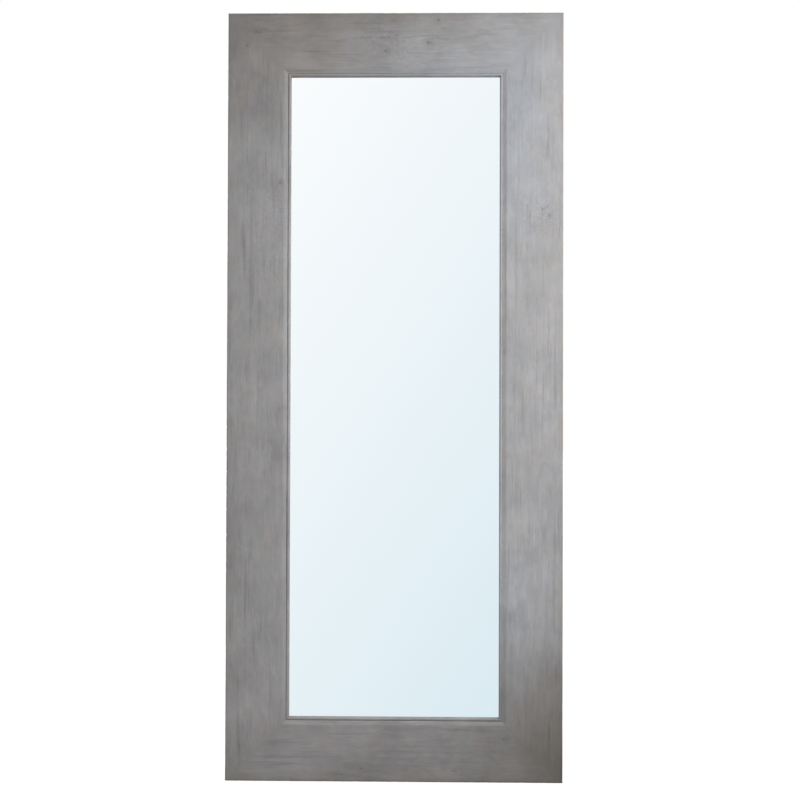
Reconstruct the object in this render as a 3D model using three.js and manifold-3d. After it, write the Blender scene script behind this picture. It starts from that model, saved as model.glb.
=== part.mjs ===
// Leaning floor mirror: a wide, flat, mitred timber frame round a plain mirror plate.
//
// Millimetres, +Z up. The glass faces -Y. The frame stands on z = 0, with the origin at the
// middle of its width, halfway between its front face and the faces of the wall buffers.
//
// Each side of the frame is built in its own side group, in which
//   x = u, the distance in from the frame's outer edge,
//   y = t, the depth behind the frame's front face, and
//   z runs along the side, with 0 at its middle.
// So one section drawn in (u, t) serves all four sides, and the same bar is a stile or a rail.
import * as THREE from "three";
import { mergeVertices } from "three/addons/utils/BufferGeometryUtils.js";
import Module from "manifold-3d";

const wasm = await Module();
wasm.setup();

// ---------------------------------------------------------------- driving sizes

// Clearances
const SEAT_GAP = 0.3; // between a piece and what it is seated on
const MITRE_GAP = 0.3; // across the hairline joint of a mitre
const RUNNING_GAP = 0.3; // round the straight bar of a hanger ring

// Frame
const FRAME_WIDTH = 875;
const FRAME_HEIGHT = 2000;
const FRAME_DEPTH = 45;
const MEMBER_WIDTH = 164.5; // from the outer edge to the sight edge, bead included
const OUTER_ARRIS = 3; // round on the front outer edge
const BACK_ARRIS = 1.5; // chamfer on the back edges
const SPLAY_WIDTH = 11.5; // sloped inner edge of the board: its width across the face
const SPLAY_ANGLE = 24; // degrees from the face
const SPLAY_EASE = 9; // radius that eases the face into the slope
const LIP_BACK = 9.5; // from the face to the underside of the lip below the slope
const RABBET_WIDTH = 14; // how far the lip overhangs the rabbet

// Sight slip: the bead round the glass, on a flange that lies under the lip
const BEAD_WIDTH = 7.5;
const BEAD_SETBACK = 3.3; // crown of the bead behind the frame's face
const FLANGE_THICKNESS = 6.2;

// Mirror plate, its backing and the beads that hold them in
const GLASS_THICKNESS = 4;
const GLASS_EDGE_CLEARANCE = 3; // from the glass edge to the rabbet wall
const GLASS_ARRIS = 0.6;
const BACKING_THICKNESS = 3;
const BACKING_EDGE_CLEARANCE = 1;
const BLOCK_LENGTH = 60; // setting blocks under the glass
const BLOCK_INSET = 90; // from the end of the glass to the middle of a block
const BACK_BEAD_WIDTH = 14;
const BACK_BEAD_DEPTH = 16;
const BACK_BEAD_ARRIS = 2;

// Loose tenons across each mitre
const TENON_LENGTH = 50;
const TENON_WIDTH = 24;
const TENON_THICKNESS = 10;
const TENON_PLACES = [45, 104]; // u of each tenon's middle
const TENON_DEPTH = 26; // t of its middle

// Countersunk screws through the back beads, into the rabbet wall
const SCREW_LENGTH = 34;
const SCREW_RADIUS = 1.9;
const SCREW_HEAD_RADIUS = 3.8;
const SCREW_TIP = 5; // length of the point
const SCREW_RIM = 0.4; // of the countersunk head
const STILE_SCREWS = 5;
const RAIL_SCREWS = 2;
const SCREW_END_MARGIN = 90; // from the end of a back bead to its first screw

// Hangers: a folded strap with a D ring, one on each stile
const STRAP_WIDTH = 19;
const STRAP_LENGTH = 58; // from the ring's bar to the end of the strap
const STRAP_THICKNESS = 1.2;
const STRAP_TAIL = 12; // from the ring's bar to the end of the folded layer
const RING_WIRE_RADIUS = 2;
const RING_HALF_WIDTH = 15; // to the middle of the wire
const RING_HEIGHT = 27; // to the middle of the wire
const RING_CORNER = 4;
const RING_BUTT_GAP = 0.3; // where the wire's ends meet, inside the strap's loop
const HANGER_INSET = 76; // from the frame's outer edge
const HANGER_DROP = 360; // from the top of the frame down to the ring's bar
const HANGER_SCREW_PLACES = [36, 49]; // from the ring's bar
const HANGER_SCREW_LENGTH = 25;
const HANGER_SCREW_RADIUS = 2;
const PAN_HEAD_RADIUS = 3.7;
const PAN_HEAD_HEIGHT = 2.4;
const PAN_HEAD_SHOULDER = 0.9; // rounding of the head's upper edge

// Rubber buffers that meet the wall
const BUFFER_RADIUS = 11;
const BUFFER_FACE_RADIUS = 8;
const BUFFER_HEIGHT = 9;
const BUFFER_INSET = 42; // from both outer edges

// Facets
const ARC_SEGMENTS = 8; // on each round of a section
const ROUND_SIDES = 12; // on screws
const BUFFER_SIDES = 24;
const SHOULDER_STEPS = 2; // per half of a buffer's shoulder
const RING_STEPS = 64; // round the ring
const WIRE_SEGMENTS = 6; // per half turn round the wire

// ---------------------------------------------------------------- derived places

const FRONT_Y = -(FRAME_DEPTH + BUFFER_HEIGHT + SEAT_GAP) / 2;
const BACK_Y = FRONT_Y + FRAME_DEPTH;
const HALF_WIDTH = FRAME_WIDTH / 2;

const LIP_EDGE = MEMBER_WIDTH - BEAD_WIDTH; // u of the lip's nose
const FLAT_END = LIP_EDGE - SPLAY_WIDTH; // u where the flat face ends
const RABBET_WALL = LIP_EDGE - RABBET_WIDTH;

const SPLAY_TILT = THREE.MathUtils.degToRad(SPLAY_ANGLE);
const EASED_WIDTH = SPLAY_EASE * Math.sin(SPLAY_TILT);
const EASED_DROP = SPLAY_EASE * (1 - Math.cos(SPLAY_TILT));
const SPLAY_DROP = EASED_DROP + (SPLAY_WIDTH - EASED_WIDTH) * Math.tan(SPLAY_TILT);

const FLANGE_FRONT = LIP_BACK + SEAT_GAP;
const SLIP_BACK = FLANGE_FRONT + FLANGE_THICKNESS;
const GLASS_FRONT = SLIP_BACK + SEAT_GAP;
const BACKING_FRONT = GLASS_FRONT + GLASS_THICKNESS + SEAT_GAP;
const BACK_BEAD_FRONT = BACKING_FRONT + BACKING_THICKNESS + SEAT_GAP;

const GLASS_EDGE = RABBET_WALL + GLASS_EDGE_CLEARANCE; // u of the glass edge
const GLASS_WIDTH = FRAME_WIDTH - 2 * GLASS_EDGE;
const GLASS_HEIGHT = FRAME_HEIGHT - 2 * GLASS_EDGE;
const BACKING_EDGE = RABBET_WALL + BACKING_EDGE_CLEARANCE;

// ---------------------------------------------------------------- materials

function finish(color, roughness, metalness = 0) {
  return new THREE.MeshStandardMaterial({ color, roughness, metalness });
}

const greyWash = finish(0x928f8c, 0.62);
const greyWashDark = finish(0x84827f, 0.6);
const beech = finish(0xc8a679, 0.7);
const rawPine = finish(0xbfa27a, 0.8);
const hardboard = finish(0x5b4432, 0.85);
const mirrorPlate = finish(0xeef4f7, 0.03, 1);
const zincSteel = finish(0xb9bbbd, 0.35, 1);
const blackRubber = finish(0x1c1c1d, 0.85);

// ---------------------------------------------------------------- geometry helpers

// A closed geometry as a solid that can be cut.
function solidOf(geometry) {
  const bare = geometry.clone();
  for (const name of Object.keys(bare.attributes)) {
    if (name !== "position") bare.deleteAttribute(name);
  }
  const merged = mergeVertices(bare, 1e-4);
  return new wasm.Manifold(
    new wasm.Mesh({
      numProp: 3,
      vertProperties: merged.attributes.position.array,
      triVerts: new Uint32Array(merged.index.array),
    }),
  );
}

function geometryOf(solid) {
  const { vertProperties, triVerts, numProp } = solid.getMesh();
  const positions = new Float32Array((vertProperties.length / numProp) * 3);
  for (let i = 0; i < positions.length / 3; i++) {
    positions.set(vertProperties.subarray(i * numProp, i * numProp + 3), i * 3);
  }
  const indexed = new THREE.BufferGeometry();
  indexed.setAttribute("position", new THREE.BufferAttribute(positions, 3));
  indexed.setIndex(new THREE.BufferAttribute(new Uint32Array(triVerts), 1));
  const flat = indexed.toNonIndexed();
  flat.computeVertexNormals();
  return flat;
}

function cut(geometry, cutters) {
  const body = cutters.reduce((rest, cutter) => rest.subtract(solidOf(cutter)), solidOf(geometry));
  return geometryOf(body);
}

function common(geometry, other) {
  return geometryOf(solidOf(geometry).intersect(solidOf(other)));
}

function piece(name, geometry, material) {
  const mesh = new THREE.Mesh(geometry, material);
  mesh.name = name;
  return mesh;
}

// A section drawn in (u, t), run along a side and mitred at both ends: a point that lies u in
// from the outer edge ends u short of the corner.
function mitredBar(section, length) {
  const bar = new THREE.ExtrudeGeometry(section, {
    depth: length,
    bevelEnabled: false,
    curveSegments: ARC_SEGMENTS,
  });
  bar.translate(0, 0, -length / 2);
  const place = bar.attributes.position;
  for (let i = 0; i < place.count; i++) {
    const end = Math.sign(place.getZ(i));
    const reach = length / 2 - place.getX(i) - MITRE_GAP / Math.SQRT2;
    place.setZ(i, end * reach);
  }
  return bar;
}

function shapeThrough(points) {
  return new THREE.Shape(points.map(([x, y]) => new THREE.Vector2(x, y)));
}

// A solid turned round +Y from [radius, height] points that start and end on the axis.
function turned(points, sides) {
  const profile = points.map(([radius, height]) => new THREE.Vector2(radius, height));
  return new THREE.LatheGeometry(profile, sides);
}

// ---------------------------------------------------------------- sections

// Board: flat face, eased slope down to the lip's nose, and the rabbet behind the lip.
function boardSection() {
  const section = new THREE.Shape();
  section.moveTo(0, OUTER_ARRIS);
  section.absarc(OUTER_ARRIS, OUTER_ARRIS, OUTER_ARRIS, Math.PI, 1.5 * Math.PI, false);
  section.lineTo(FLAT_END, 0);
  section.absarc(FLAT_END, SPLAY_EASE, SPLAY_EASE, -Math.PI / 2, SPLAY_TILT - Math.PI / 2, false);
  section.lineTo(LIP_EDGE, SPLAY_DROP);
  section.lineTo(LIP_EDGE, LIP_BACK);
  section.lineTo(RABBET_WALL, LIP_BACK);
  section.lineTo(RABBET_WALL, FRAME_DEPTH - BACK_ARRIS);
  section.lineTo(RABBET_WALL - BACK_ARRIS, FRAME_DEPTH);
  section.lineTo(BACK_ARRIS, FRAME_DEPTH);
  section.lineTo(0, FRAME_DEPTH - BACK_ARRIS);
  section.closePath();
  return section;
}

// Sight slip: a half-round bead at the glass, on a flange under the board's lip.
function slipSection() {
  const outer = RABBET_WALL + SEAT_GAP;
  const beadOuter = LIP_EDGE + SEAT_GAP;
  const beadRadius = (MEMBER_WIDTH - beadOuter) / 2;
  const beadMiddle = BEAD_SETBACK + beadRadius;
  const section = new THREE.Shape();
  section.moveTo(outer, FLANGE_FRONT);
  section.lineTo(beadOuter, FLANGE_FRONT);
  section.lineTo(beadOuter, beadMiddle);
  section.absarc(beadOuter + beadRadius, beadMiddle, beadRadius, Math.PI, 2 * Math.PI, false);
  section.lineTo(MEMBER_WIDTH, SLIP_BACK);
  section.lineTo(outer, SLIP_BACK);
  section.closePath();
  return section;
}

// Back bead: a batten with one rounded arris, in the rabbet behind the backing.
function backBeadSection() {
  const outer = RABBET_WALL + SEAT_GAP;
  const inner = outer + BACK_BEAD_WIDTH;
  const back = BACK_BEAD_FRONT + BACK_BEAD_DEPTH;
  const section = new THREE.Shape();
  section.moveTo(outer, BACK_BEAD_FRONT);
  section.lineTo(inner, BACK_BEAD_FRONT);
  section.lineTo(inner, back - BACK_BEAD_ARRIS);
  section.absarc(inner - BACK_BEAD_ARRIS, back - BACK_BEAD_ARRIS, BACK_BEAD_ARRIS, 0, Math.PI / 2, false);
  section.lineTo(outer, back);
  section.closePath();
  return section;
}

// ---------------------------------------------------------------- loose tenons

// A round-ended tenon that lies across the mitre at one end of a side (end = 1 or -1).
// grow makes the mortise that it fits.
function tenonAcross(end, sideLength, u, grow = 0) {
  const round = TENON_THICKNESS / 2 + grow;
  const halfFlat = (TENON_WIDTH - TENON_THICKNESS) / 2;
  const length = TENON_LENGTH + 2 * grow;
  const section = new THREE.Shape();
  section.absarc(halfFlat, 0, round, -Math.PI / 2, Math.PI / 2, false);
  section.absarc(-halfFlat, 0, round, Math.PI / 2, 1.5 * Math.PI, false);
  const tenon = new THREE.ExtrudeGeometry(section, {
    depth: length,
    bevelEnabled: false,
    curveSegments: ARC_SEGMENTS,
  });
  tenon.translate(0, 0, -length / 2);
  tenon.rotateY((end * Math.PI) / 4);
  tenon.translate(u, TENON_DEPTH, end * (sideLength / 2 - u));
  return tenon;
}

function mortises(sideLength) {
  return [-1, 1].flatMap((end) =>
    TENON_PLACES.map((u) => tenonAcross(end, sideLength, u, SEAT_GAP)),
  );
}

// ---------------------------------------------------------------- screws of the back beads

// Countersunk screw, driven outwards with its head flush in the back bead's inner face.
// grow makes the hole that it runs in.
function beadScrew(along, grow = 0) {
  const shank = SCREW_RADIUS + grow;
  const head = SCREW_HEAD_RADIUS + grow;
  const rimBottom = SCREW_LENGTH - SCREW_RIM;
  const screw = turned(
    [
      [0, -grow],
      [shank, SCREW_TIP],
      [shank, rimBottom - (head - shank)], // a 90 degree countersink
      [head, rimBottom],
      [head, SCREW_LENGTH + grow],
      [0, SCREW_LENGTH + grow],
    ],
    ROUND_SIDES,
  );
  screw.rotateZ(-Math.PI / 2);
  const headFace = RABBET_WALL + SEAT_GAP + BACK_BEAD_WIDTH;
  screw.translate(headFace - SCREW_LENGTH, BACK_BEAD_FRONT + BACK_BEAD_DEPTH / 2, along);
  return screw;
}

function beadScrewPlaces(sideLength, count) {
  const reach = sideLength / 2 - RABBET_WALL - BACK_BEAD_WIDTH - SCREW_END_MARGIN;
  return Array.from({ length: count }, (_, i) => -reach + (2 * reach * i) / (count - 1));
}

// ---------------------------------------------------------------- one side of the frame

// corner is the one at the side's +z end. On a stile, top is the end of z that points up.
const SIDES = [
  { side: "left", board: "left_stile", corner: "top_left", top: 1 },
  { side: "top", board: "top_rail", corner: "top_right" },
  { side: "right", board: "right_stile", corner: "bottom_right", top: -1 },
  { side: "bottom", board: "bottom_rail", corner: "bottom_left" },
];

function frameSide({ side, board, corner, top }) {
  const group = new THREE.Group();
  const length = top ? FRAME_HEIGHT : FRAME_WIDTH;
  const places = beadScrewPlaces(length, top ? STILE_SCREWS : RAIL_SCREWS);
  const screwHoles = places.map((along) => beadScrew(along, SEAT_GAP));
  const boardHoles = [...mortises(length), ...screwHoles, ...(top ? hangerPilots(top) : [])];
  group.add(
    piece(board, cut(mitredBar(boardSection(), length), boardHoles), greyWash),
    piece(`sight_slip_${side}`, mitredBar(slipSection(), length), greyWashDark),
    piece(`back_bead_${side}`, cut(mitredBar(backBeadSection(), length), screwHoles), rawPine),
  );
  places.forEach((along, i) => {
    group.add(piece(`bead_screw_${side}_${i + 1}`, beadScrew(along), zincSteel));
  });
  TENON_PLACES.forEach((u, i) => {
    const place = i === 0 ? "outer" : "inner";
    group.add(piece(`mitre_tenon_${corner}_${place}`, tenonAcross(1, length, u), beech));
  });
  return group;
}

// The four sides follow each other clockwise, seen from the front, each a quarter turn on.
function frame() {
  const group = new THREE.Group();
  const middles = [
    [-HALF_WIDTH, FRAME_HEIGHT / 2],
    [0, FRAME_HEIGHT],
    [HALF_WIDTH, FRAME_HEIGHT / 2],
    [0, 0],
  ];
  SIDES.forEach((spec, i) => {
    const side = frameSide(spec);
    const [x, z] = middles[i];
    side.position.set(x, FRONT_Y, z);
    side.rotation.y = (i * Math.PI) / 2;
    group.add(side);
  });
  return group;
}

// ---------------------------------------------------------------- mirror pack

// A plate with seamed edges, standing in the frame with its front at depth t.
function plate(width, height, thickness, arris, t) {
  const half = { w: width / 2 - arris, h: height / 2 - arris };
  const outline = shapeThrough([
    [-half.w, -half.h],
    [half.w, -half.h],
    [half.w, half.h],
    [-half.w, half.h],
  ]);
  const geometry = new THREE.ExtrudeGeometry(outline, {
    depth: thickness - 2 * arris,
    bevelEnabled: arris > 0,
    bevelThickness: arris,
    bevelSize: arris,
    bevelSegments: 1,
  });
  geometry.translate(0, 0, arris);
  geometry.rotateX(Math.PI / 2); // the front is now at y = 0 and faces the back
  geometry.translate(0, FRONT_Y + t + thickness, FRAME_HEIGHT / 2);
  return geometry;
}

function mirrorPack() {
  const group = new THREE.Group();
  const backingWidth = FRAME_WIDTH - 2 * BACKING_EDGE;
  const backingHeight = FRAME_HEIGHT - 2 * BACKING_EDGE;
  const glass = plate(GLASS_WIDTH, GLASS_HEIGHT, GLASS_THICKNESS, GLASS_ARRIS, GLASS_FRONT);
  const backing = plate(backingWidth, backingHeight, BACKING_THICKNESS, 0, BACKING_FRONT);
  group.add(
    piece("mirror_glass", glass, mirrorPlate),
    piece("backing_panel", backing, hardboard),
  );
  for (const [name, sign] of [["left", -1], ["right", 1]]) {
    const height = GLASS_EDGE_CLEARANCE - 2 * SEAT_GAP;
    const block = new THREE.BoxGeometry(BLOCK_LENGTH, GLASS_THICKNESS, height);
    block.translate(
      sign * (GLASS_WIDTH / 2 - BLOCK_INSET),
      FRONT_Y + GLASS_FRONT + GLASS_THICKNESS / 2,
      GLASS_EDGE - SEAT_GAP - height / 2,
    );
    group.add(piece(`setting_block_${name}`, block, blackRubber));
  }
  return group;
}

// ---------------------------------------------------------------- hangers

// The middle of the wire: half of the bar on the hinge axis, a corner, a leg, the round bow
// and back up the other side, to the other end of the wire.
class RingLine extends THREE.Curve {
  constructor() {
    super();
    const barEnd = RING_HALF_WIDTH - RING_CORNER;
    const bowTop = RING_HALF_WIDTH - RING_HEIGHT;
    this.outline = new THREE.Path();
    this.outline.moveTo(RING_BUTT_GAP / 2, 0);
    this.outline.lineTo(barEnd, 0);
    this.outline.absarc(barEnd, -RING_CORNER, RING_CORNER, Math.PI / 2, 0, true);
    this.outline.lineTo(RING_HALF_WIDTH, bowTop);
    this.outline.absarc(0, bowTop, RING_HALF_WIDTH, 0, -Math.PI, true);
    this.outline.lineTo(-RING_HALF_WIDTH, -RING_CORNER);
    this.outline.absarc(-barEnd, -RING_CORNER, RING_CORNER, Math.PI, Math.PI / 2, true);
    this.outline.lineTo(-RING_BUTT_GAP / 2, 0);
  }

  getPoint(share, target = new THREE.Vector3()) {
    const point = this.outline.getPoint(share);
    return target.set(point.x, 0, point.y);
  }
}

function ringGeometry() {
  const wire = new THREE.Shape();
  wire.absarc(0, 0, RING_WIRE_RADIUS, 0, 2 * Math.PI, false);
  return new THREE.ExtrudeGeometry(wire, {
    steps: RING_STEPS,
    curveSegments: WIRE_SEGMENTS,
    extrudePath: new RingLine(),
  });
}

// Strap seen from its edge, as (height off the wood, place along the strap with 0 at the
// bar): one layer on the wood, a loop round the bar, and the end folded down on the first.
function strapSection() {
  const bore = RING_WIRE_RADIUS + RUNNING_GAP;
  const loop = bore + STRAP_THICKNESS;
  const doubled = 2 * STRAP_THICKNESS;
  const inward = doubled - loop;
  const drop = Math.sqrt(loop ** 2 - inward ** 2); // where the folded layer leaves the loop
  const section = new THREE.Shape();
  section.moveTo(0, 0);
  section.lineTo(0, -STRAP_LENGTH);
  section.lineTo(STRAP_THICKNESS, -STRAP_LENGTH);
  section.lineTo(STRAP_THICKNESS, -STRAP_TAIL);
  section.lineTo(doubled, -STRAP_TAIL);
  section.lineTo(doubled, -drop);
  section.absarc(loop, 0, loop, Math.atan2(-drop, inward), Math.PI, false);
  const hole = new THREE.Path();
  hole.absarc(loop, 0, bore, 0, 2 * Math.PI, true);
  section.holes.push(hole);
  return section;
}

// Strap seen from behind the frame: parallel sides and a half-round end.
function strapOutline() {
  const half = STRAP_WIDTH / 2;
  const above = STRAP_LENGTH / 2; // clear of the loop
  const outline = new THREE.Shape();
  outline.moveTo(half, above);
  outline.lineTo(-half, above);
  outline.lineTo(-half, half - STRAP_LENGTH);
  outline.absarc(0, half - STRAP_LENGTH, half, Math.PI, 2 * Math.PI, false);
  outline.closePath();
  return outline;
}

// The strap is bent from stock of twice its width, and its outline is cut through all layers.
function strapGeometry() {
  const bent = new THREE.ExtrudeGeometry(strapSection(), {
    depth: 2 * STRAP_WIDTH,
    bevelEnabled: false,
    curveSegments: 2 * ARC_SEGMENTS,
  });
  bent.translate(0, 0, -STRAP_WIDTH);
  // The section's height becomes y, its length z, and the width x.
  bent.applyMatrix4(
    new THREE.Matrix4().makeBasis(
      new THREE.Vector3(0, 1, 0),
      new THREE.Vector3(0, 0, 1),
      new THREE.Vector3(1, 0, 0),
    ),
  );
  const outlined = new THREE.ExtrudeGeometry(strapOutline(), {
    depth: 2 * STRAP_WIDTH,
    bevelEnabled: false,
    curveSegments: 2 * ARC_SEGMENTS,
  });
  outlined.rotateX(Math.PI / 2);
  outlined.translate(0, STRAP_WIDTH, 0);
  return common(bent, outlined);
}

// Pan-head screw, pointing into the wood, with its head on a strap whose back is at y = 0.
// grow makes the hole that it runs in.
function hangerScrew(grow = 0) {
  const shank = HANGER_SCREW_RADIUS + grow;
  const top = HANGER_SCREW_LENGTH + PAN_HEAD_HEIGHT;
  const head = [
    [shank, HANGER_SCREW_LENGTH],
    [PAN_HEAD_RADIUS, HANGER_SCREW_LENGTH],
    [PAN_HEAD_RADIUS, top - PAN_HEAD_SHOULDER],
    [PAN_HEAD_RADIUS - PAN_HEAD_SHOULDER, top],
  ];
  const upper = grow > 0 ? [[shank, top]] : head;
  const screw = turned([[0, -grow], [shank, SCREW_TIP], ...upper, [0, top]], ROUND_SIDES);
  screw.translate(0, STRAP_THICKNESS + SEAT_GAP - HANGER_SCREW_LENGTH, 0);
  return screw;
}

// The holes of one hanger in its stile, in the side's own frame.
function hangerPilots(top) {
  return HANGER_SCREW_PLACES.map((place) => {
    const along = FRAME_HEIGHT / 2 - HANGER_DROP - place;
    return hangerScrew(SEAT_GAP).translate(HANGER_INSET, FRAME_DEPTH + SEAT_GAP, top * along);
  });
}

function hanger(side, x, z) {
  const group = new THREE.Group();
  const holes = HANGER_SCREW_PLACES.map((place) => hangerScrew(SEAT_GAP).translate(0, 0, -place));
  const ring = piece(`hanger_ring_${side}`, ringGeometry(), zincSteel);
  ring.position.y = RING_WIRE_RADIUS + RUNNING_GAP + STRAP_THICKNESS;
  group.add(piece(`hanger_strap_${side}`, cut(strapGeometry(), holes), zincSteel), ring);
  HANGER_SCREW_PLACES.forEach((place, i) => {
    const screw = piece(`hanger_screw_${side}_${i + 1}`, hangerScrew(), zincSteel);
    screw.position.z = -place;
    group.add(screw);
  });
  group.position.set(x, BACK_Y + SEAT_GAP, z);
  return group;
}

// ---------------------------------------------------------------- buffers

function buffer(name, x, z) {
  const shoulder = BUFFER_RADIUS - BUFFER_FACE_RADIUS;
  const body = new THREE.Path();
  body.moveTo(0, 0);
  body.lineTo(BUFFER_RADIUS, 0);
  body.lineTo(BUFFER_RADIUS, BUFFER_HEIGHT - shoulder);
  body.absarc(BUFFER_FACE_RADIUS, BUFFER_HEIGHT - shoulder, shoulder, 0, Math.PI / 2, false);
  body.lineTo(0, BUFFER_HEIGHT);
  const geometry = new THREE.LatheGeometry(body.getPoints(SHOULDER_STEPS), BUFFER_SIDES);
  const mesh = piece(`wall_buffer_${name}`, geometry, blackRubber);
  mesh.position.set(x, BACK_Y + SEAT_GAP, z);
  return mesh;
}

// ---------------------------------------------------------------- assembly

const mirror = new THREE.Group();
mirror.add(frame(), mirrorPack());
for (const [side, sign] of [["left", -1], ["right", 1]]) {
  mirror.add(hanger(side, sign * (HALF_WIDTH - HANGER_INSET), FRAME_HEIGHT - HANGER_DROP));
  mirror.add(buffer(`top_${side}`, sign * (HALF_WIDTH - BUFFER_INSET), FRAME_HEIGHT - BUFFER_INSET));
  mirror.add(buffer(`bottom_${side}`, sign * (HALF_WIDTH - BUFFER_INSET), BUFFER_INSET));
}

export default mirror;
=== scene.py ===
"""Looks of the leaning floor mirror: grey-washed brushed timber, silvered glass and the
fittings on the back.

Metres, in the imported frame: +Z up, the glass faces -Y, the mirror stands on z = 0.

The timber of each side is swept in the side's own place, as in the construction: u is the
distance in from the frame's outer edge, t the depth behind the front face, and v runs along
the side with 0 at its middle.
"""

import math
from collections import namedtuple

import bpy
import bmesh
import numpy as np
from mathutils import Matrix, Vector


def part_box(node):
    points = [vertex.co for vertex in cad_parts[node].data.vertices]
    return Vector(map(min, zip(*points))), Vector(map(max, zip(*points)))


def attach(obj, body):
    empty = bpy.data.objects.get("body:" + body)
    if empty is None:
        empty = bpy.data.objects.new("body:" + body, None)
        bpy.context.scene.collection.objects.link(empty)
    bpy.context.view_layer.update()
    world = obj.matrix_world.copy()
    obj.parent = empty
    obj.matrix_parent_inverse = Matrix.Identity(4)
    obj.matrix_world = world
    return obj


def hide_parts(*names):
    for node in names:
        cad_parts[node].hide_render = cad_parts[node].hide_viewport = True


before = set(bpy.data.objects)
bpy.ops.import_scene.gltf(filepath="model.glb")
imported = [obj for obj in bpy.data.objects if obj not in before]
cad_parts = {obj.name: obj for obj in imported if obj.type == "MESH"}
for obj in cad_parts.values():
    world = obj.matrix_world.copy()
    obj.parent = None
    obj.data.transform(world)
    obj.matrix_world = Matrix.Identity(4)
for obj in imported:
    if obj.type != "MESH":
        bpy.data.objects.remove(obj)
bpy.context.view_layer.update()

# ---- sizes

MM = 0.001

LEFT_LOW, LEFT_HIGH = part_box("left_stile")
HALF_WIDTH = -LEFT_LOW[0]
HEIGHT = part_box("top_rail")[1][2]
FRONT = LEFT_LOW[1]
BACK = LEFT_HIGH[1]
DEPTH = BACK - FRONT
LIP_EDGE = LEFT_HIGH[0] - LEFT_LOW[0]  # from the outer edge to the nose of the board's lip
SLIP_LOW, SLIP_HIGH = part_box("sight_slip_left")
SIGHT_EDGE = SLIP_HIGH[0] - LEFT_LOW[0]
SEAT_GAP = 0.3 * MM  # between the slip and the board
RABBET_WALL = SLIP_LOW[0] - LEFT_LOW[0] - SEAT_GAP

# Board section
OUTER_ARRIS = 3 * MM
BACK_ARRIS = 1.5 * MM
SPLAY_WIDTH = 11.5 * MM  # sloped inner edge of the board
SPLAY_ANGLE = 24  # degrees from the face
SPLAY_EASE = 9 * MM  # radius that eases the face into the slope
EASED_WIDTH = SPLAY_EASE * math.sin(math.radians(SPLAY_ANGLE))
EASED_DROP = SPLAY_EASE * (1 - math.cos(math.radians(SPLAY_ANGLE)))
SPLAY_DROP = EASED_DROP + (SPLAY_WIDTH - EASED_WIDTH) * math.tan(math.radians(SPLAY_ANGLE))
LIP_BACK = 9.5 * MM

# Sight slip section
BEAD_SETBACK = 3.3 * MM
SLIP_BACK = 16 * MM
QUIRK_FILL = SPLAY_DROP + 0.3 * MM  # depth at which the wash in the quirk meets the lip
QUIRK_ANGLE = 30  # degrees of the bead's round that it covers

# Screws of the back beads
BEAD_SCREW_LENGTH = 34 * MM
BEAD_SCREW_HEAD = 3.8 * MM
BEAD_SCREW_RIM = 0.4 * MM
BEAD_SCREW_CHAMFER = 0.12 * MM
BEAD_SCREW_SHANK = 1.9 * MM

# Hangers and their screws
HANGER_SCREW_LENGTH = 25 * MM
HANGER_SCREW_SHANK = 2 * MM
PAN_HEAD_RADIUS = 3.7 * MM
PAN_HEAD_HEIGHT = 2.4 * MM
PAN_HEAD_SHOULDER = 0.9 * MM
RING_WIRE_RADIUS = 2 * MM
RING_HALF_WIDTH = 15 * MM
RING_HEIGHT = 27 * MM
RING_CORNER = 4 * MM
RING_BUTT_GAP = 0.3 * MM
BROKEN_EDGE = 0.22 * MM

# Threads and cross recesses
SCREW_TIP = 5 * MM
THREAD_PITCH = 1.7 * MM
THREAD_DEPTH = 0.5 * MM
THREADED_SHARE = 0.7  # of a screw's length
SHANK_SHARE = 0.82  # of its length below the head, modelled in rows of points
ROWS_PER_TURN = 7
RECESS_REACH = 2.1 * MM
RECESS_WIDTH = 0.9 * MM
RECESS_DEPTH = 1.9 * MM

# Rubber buffers
BUFFER_SHOULDER = 3 * MM
BUFFER_FOOT = 0.4 * MM
BUFFER_DIMPLE = [(3.4 * MM, 0), (2.8 * MM, 0.35 * MM), (2 * MM, 0.5 * MM), (0, 0.5 * MM)]

# How finely the pieces are modelled
ACROSS_STEP = 1.6 * MM
ALONG_STEP = 3.2 * MM
EDGE_STEP = 6 * MM
HIDDEN_STEP = 24 * MM
SCREW_SIDES = 32
WIRE_SIDES = 20
BUFFER_SIDES = 56


# ---- node helpers


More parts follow.
